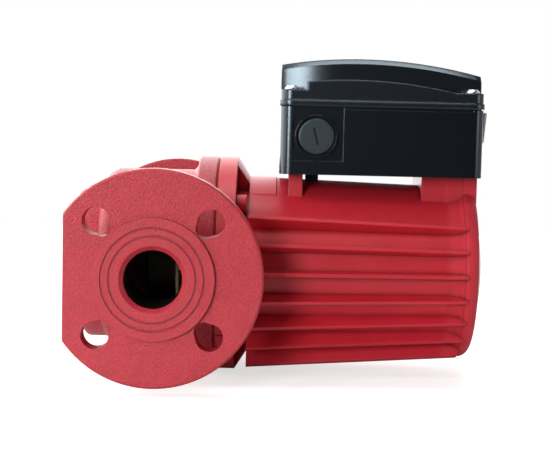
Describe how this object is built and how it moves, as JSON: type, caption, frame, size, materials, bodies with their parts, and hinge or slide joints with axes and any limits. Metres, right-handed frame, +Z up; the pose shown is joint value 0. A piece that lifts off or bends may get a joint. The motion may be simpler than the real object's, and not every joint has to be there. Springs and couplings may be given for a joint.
{
  "type": "circulation pump",
  "caption": "Wet rotor circulation pump with two flanged ports in line, a finned motor lying level and a terminal box on top.",
  "frame": {"origin": "middle of the front port's raised face", "axes": "+X along the motor shaft towards the motor's end, +Y from the front port to the rear port, +Z up to the terminal box"},
  "size_m": [0.3036, 0.25, 0.2355],
  "materials": {
    "painted_iron": "satin red coating over grey cast iron",
    "painted_aluminium": "satin red coating over die cast aluminium",
    "steel": "turned stainless steel",
    "end_cover": "brushed aluminium",
    "brass": "turned brass",
    "impeller_composite": "moulded glass filled composite, beige",
    "gasket_sheet": "dark gasket sheet",
    "seal_rubber": "moulded rubber",
    "black_plastic": "fine textured moulded plastic, near black",
    "grey_plastic": "moulded plastic, dark grey"
  },
  "bodies": {
    "root": {"pump_housing": "painted_iron", "housing_gasket": "gasket_sheet", "stator_housing": "painted_aluminium", "bearing_plate": "steel", "impeller": "impeller_composite", "impeller_nut": "steel", "rotor_shaft": "steel", "neck_ring": "steel", "end_disc": "end_cover", "vent_plug": "brass", "terminal_box_base": "black_plastic", "lid_seal": "seal_rubber", "terminal_box_lid": "black_plastic", "control_module": "black_plastic", "cable_plug_front": "grey_plastic", "cable_plug_back": "grey_plastic", "plug_collar_front": "black_plastic", "plug_collar_back": "black_plastic", "box_end_cover": "black_plastic", "wire_duct": "black_plastic"}
  },
  "joints": []
}
